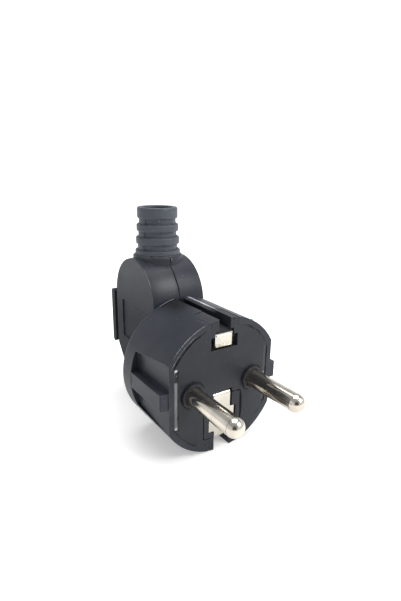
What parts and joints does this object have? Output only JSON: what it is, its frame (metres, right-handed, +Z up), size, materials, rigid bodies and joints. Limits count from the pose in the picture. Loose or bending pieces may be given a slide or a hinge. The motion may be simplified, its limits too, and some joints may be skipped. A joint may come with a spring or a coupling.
{
  "type": "rewireable plug",
  "caption": "Right-angle rewireable plug with two round pins, side earth clips, an earth pin hole, a clamshell housing and a ringed cable boot.",
  "frame": {"origin": "midway between the two pins, in the engagement face", "axes": "+X right seen from the front, +Y from the face into the plug (the pins point to -Y), +Z up towards the cable boot"},
  "size_m": [0.0376, 0.07, 0.0617],
  "materials": {
    "housing_plastic": "fine grained dark grey plastic, worn bright at the edges",
    "carrier_plastic": "smooth dark grey plastic",
    "boot_rubber": "soft dark grey",
    "strip_plastic": "pale grey",
    "nickel": "nickel plated, polished",
    "earth_metal": "plated sheet, lightly brushed",
    "screw_steel": "zinc plated"
  },
  "bodies": {
    "root": {"housing_left": "housing_plastic", "housing_right": "housing_plastic", "contact_carrier": "carrier_plastic", "earth_window_frame": "carrier_plastic", "cable_boot": "boot_rubber", "side_strip_left": "strip_plastic", "side_strip_right": "strip_plastic", "pin_left": "nickel", "pin_right": "nickel", "earth_strip": "earth_metal", "earth_sleeve": "earth_metal", "earth_washer": "earth_metal", "earth_screw": "screw_steel", "terminal_screw_left": "screw_steel", "terminal_screw_right": "screw_steel", "pin_retainer": "carrier_plastic", "retainer_screw_left": "screw_steel", "retainer_screw_right": "screw_steel", "cable_clamp_bar": "carrier_plastic", "clamp_screw_front": "screw_steel", "clamp_screw_rear": "screw_steel", "housing_screw_front": "screw_steel", "housing_screw_rear": "screw_steel", "housing_screw_lower": "screw_steel"}
  },
  "joints": []
}
